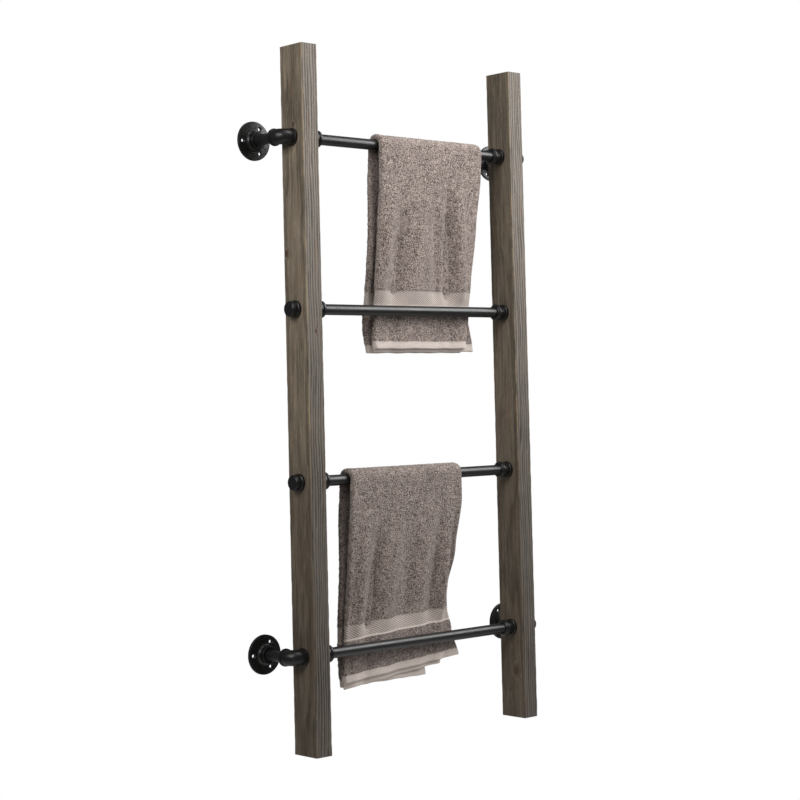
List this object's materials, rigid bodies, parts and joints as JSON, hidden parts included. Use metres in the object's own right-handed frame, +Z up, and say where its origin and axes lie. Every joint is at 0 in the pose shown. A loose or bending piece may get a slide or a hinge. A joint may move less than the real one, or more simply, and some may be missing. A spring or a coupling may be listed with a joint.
{
  "type": "towel rack",
  "caption": "Wall-mounted ladder towel rack: timber posts, black pipe rungs through them, pipe arms on round wall flanges, and folded towels that slide along the rungs.",
  "frame": {"origin": "in the wall's plane, midway between the four wall flanges", "axes": "+X along the rungs to the right, seen from the room; +Y into the wall; +Z up"},
  "size_m": [0.7282, 0.123, 1.355],
  "materials": {
    "stained_timber": "grey-brown stained softwood, open grain, no gloss coat",
    "black_pipe": "smooth satin black coating on steel pipe",
    "black_iron": "matt black coating on rough cast fittings",
    "taupe_terry": "looped cotton terry with a flat woven band and hem"
  },
  "bodies": {
    "rack": {"post_left": "stained_timber", "post_right": "stained_timber", "rung_1": "black_pipe", "rung_2": "black_pipe", "rung_3": "black_pipe", "rung_4": "black_pipe", "coupling_left_1": "black_iron", "coupling_left_2": "black_iron", "coupling_left_3": "black_iron", "coupling_left_4": "black_iron", "coupling_right_1": "black_iron", "coupling_right_2": "black_iron", "coupling_right_3": "black_iron", "coupling_right_4": "black_iron", "nipple_left_1": "black_pipe", "nipple_left_2": "black_pipe", "nipple_left_3": "black_pipe", "nipple_left_4": "black_pipe", "nipple_right_1": "black_pipe", "nipple_right_2": "black_pipe", "nipple_right_3": "black_pipe", "nipple_right_4": "black_pipe", "cap_left_2": "black_iron", "cap_left_3": "black_iron", "cap_right_2": "black_iron", "cap_right_3": "black_iron", "elbow_left_1": "black_iron", "elbow_left_4": "black_iron", "elbow_right_1": "black_iron", "elbow_right_4": "black_iron", "wall_arm_left_1": "black_pipe", "wall_arm_left_4": "black_pipe", "wall_arm_right_1": "black_pipe", "wall_arm_right_4": "black_pipe", "flange_left_1": "black_iron", "flange_left_4": "black_iron", "flange_right_1": "black_iron", "flange_right_4": "black_iron"},
    "upper_towel_body": {"upper_towel": "taupe_terry"},
    "lower_towel_body": {"lower_towel": "taupe_terry"}
  },
  "joints": [
    {"name": "upper_towel_slide", "type": "slide", "parent": "rack", "child": "upper_towel_body", "axis": [1, 0, 0], "range_m": [-0.135, 0.039]},
    {"name": "lower_towel_slide", "type": "slide", "parent": "rack", "child": "lower_towel_body", "axis": [1, 0, 0], "range_m": [-0.043, 0.118]}
  ]
}
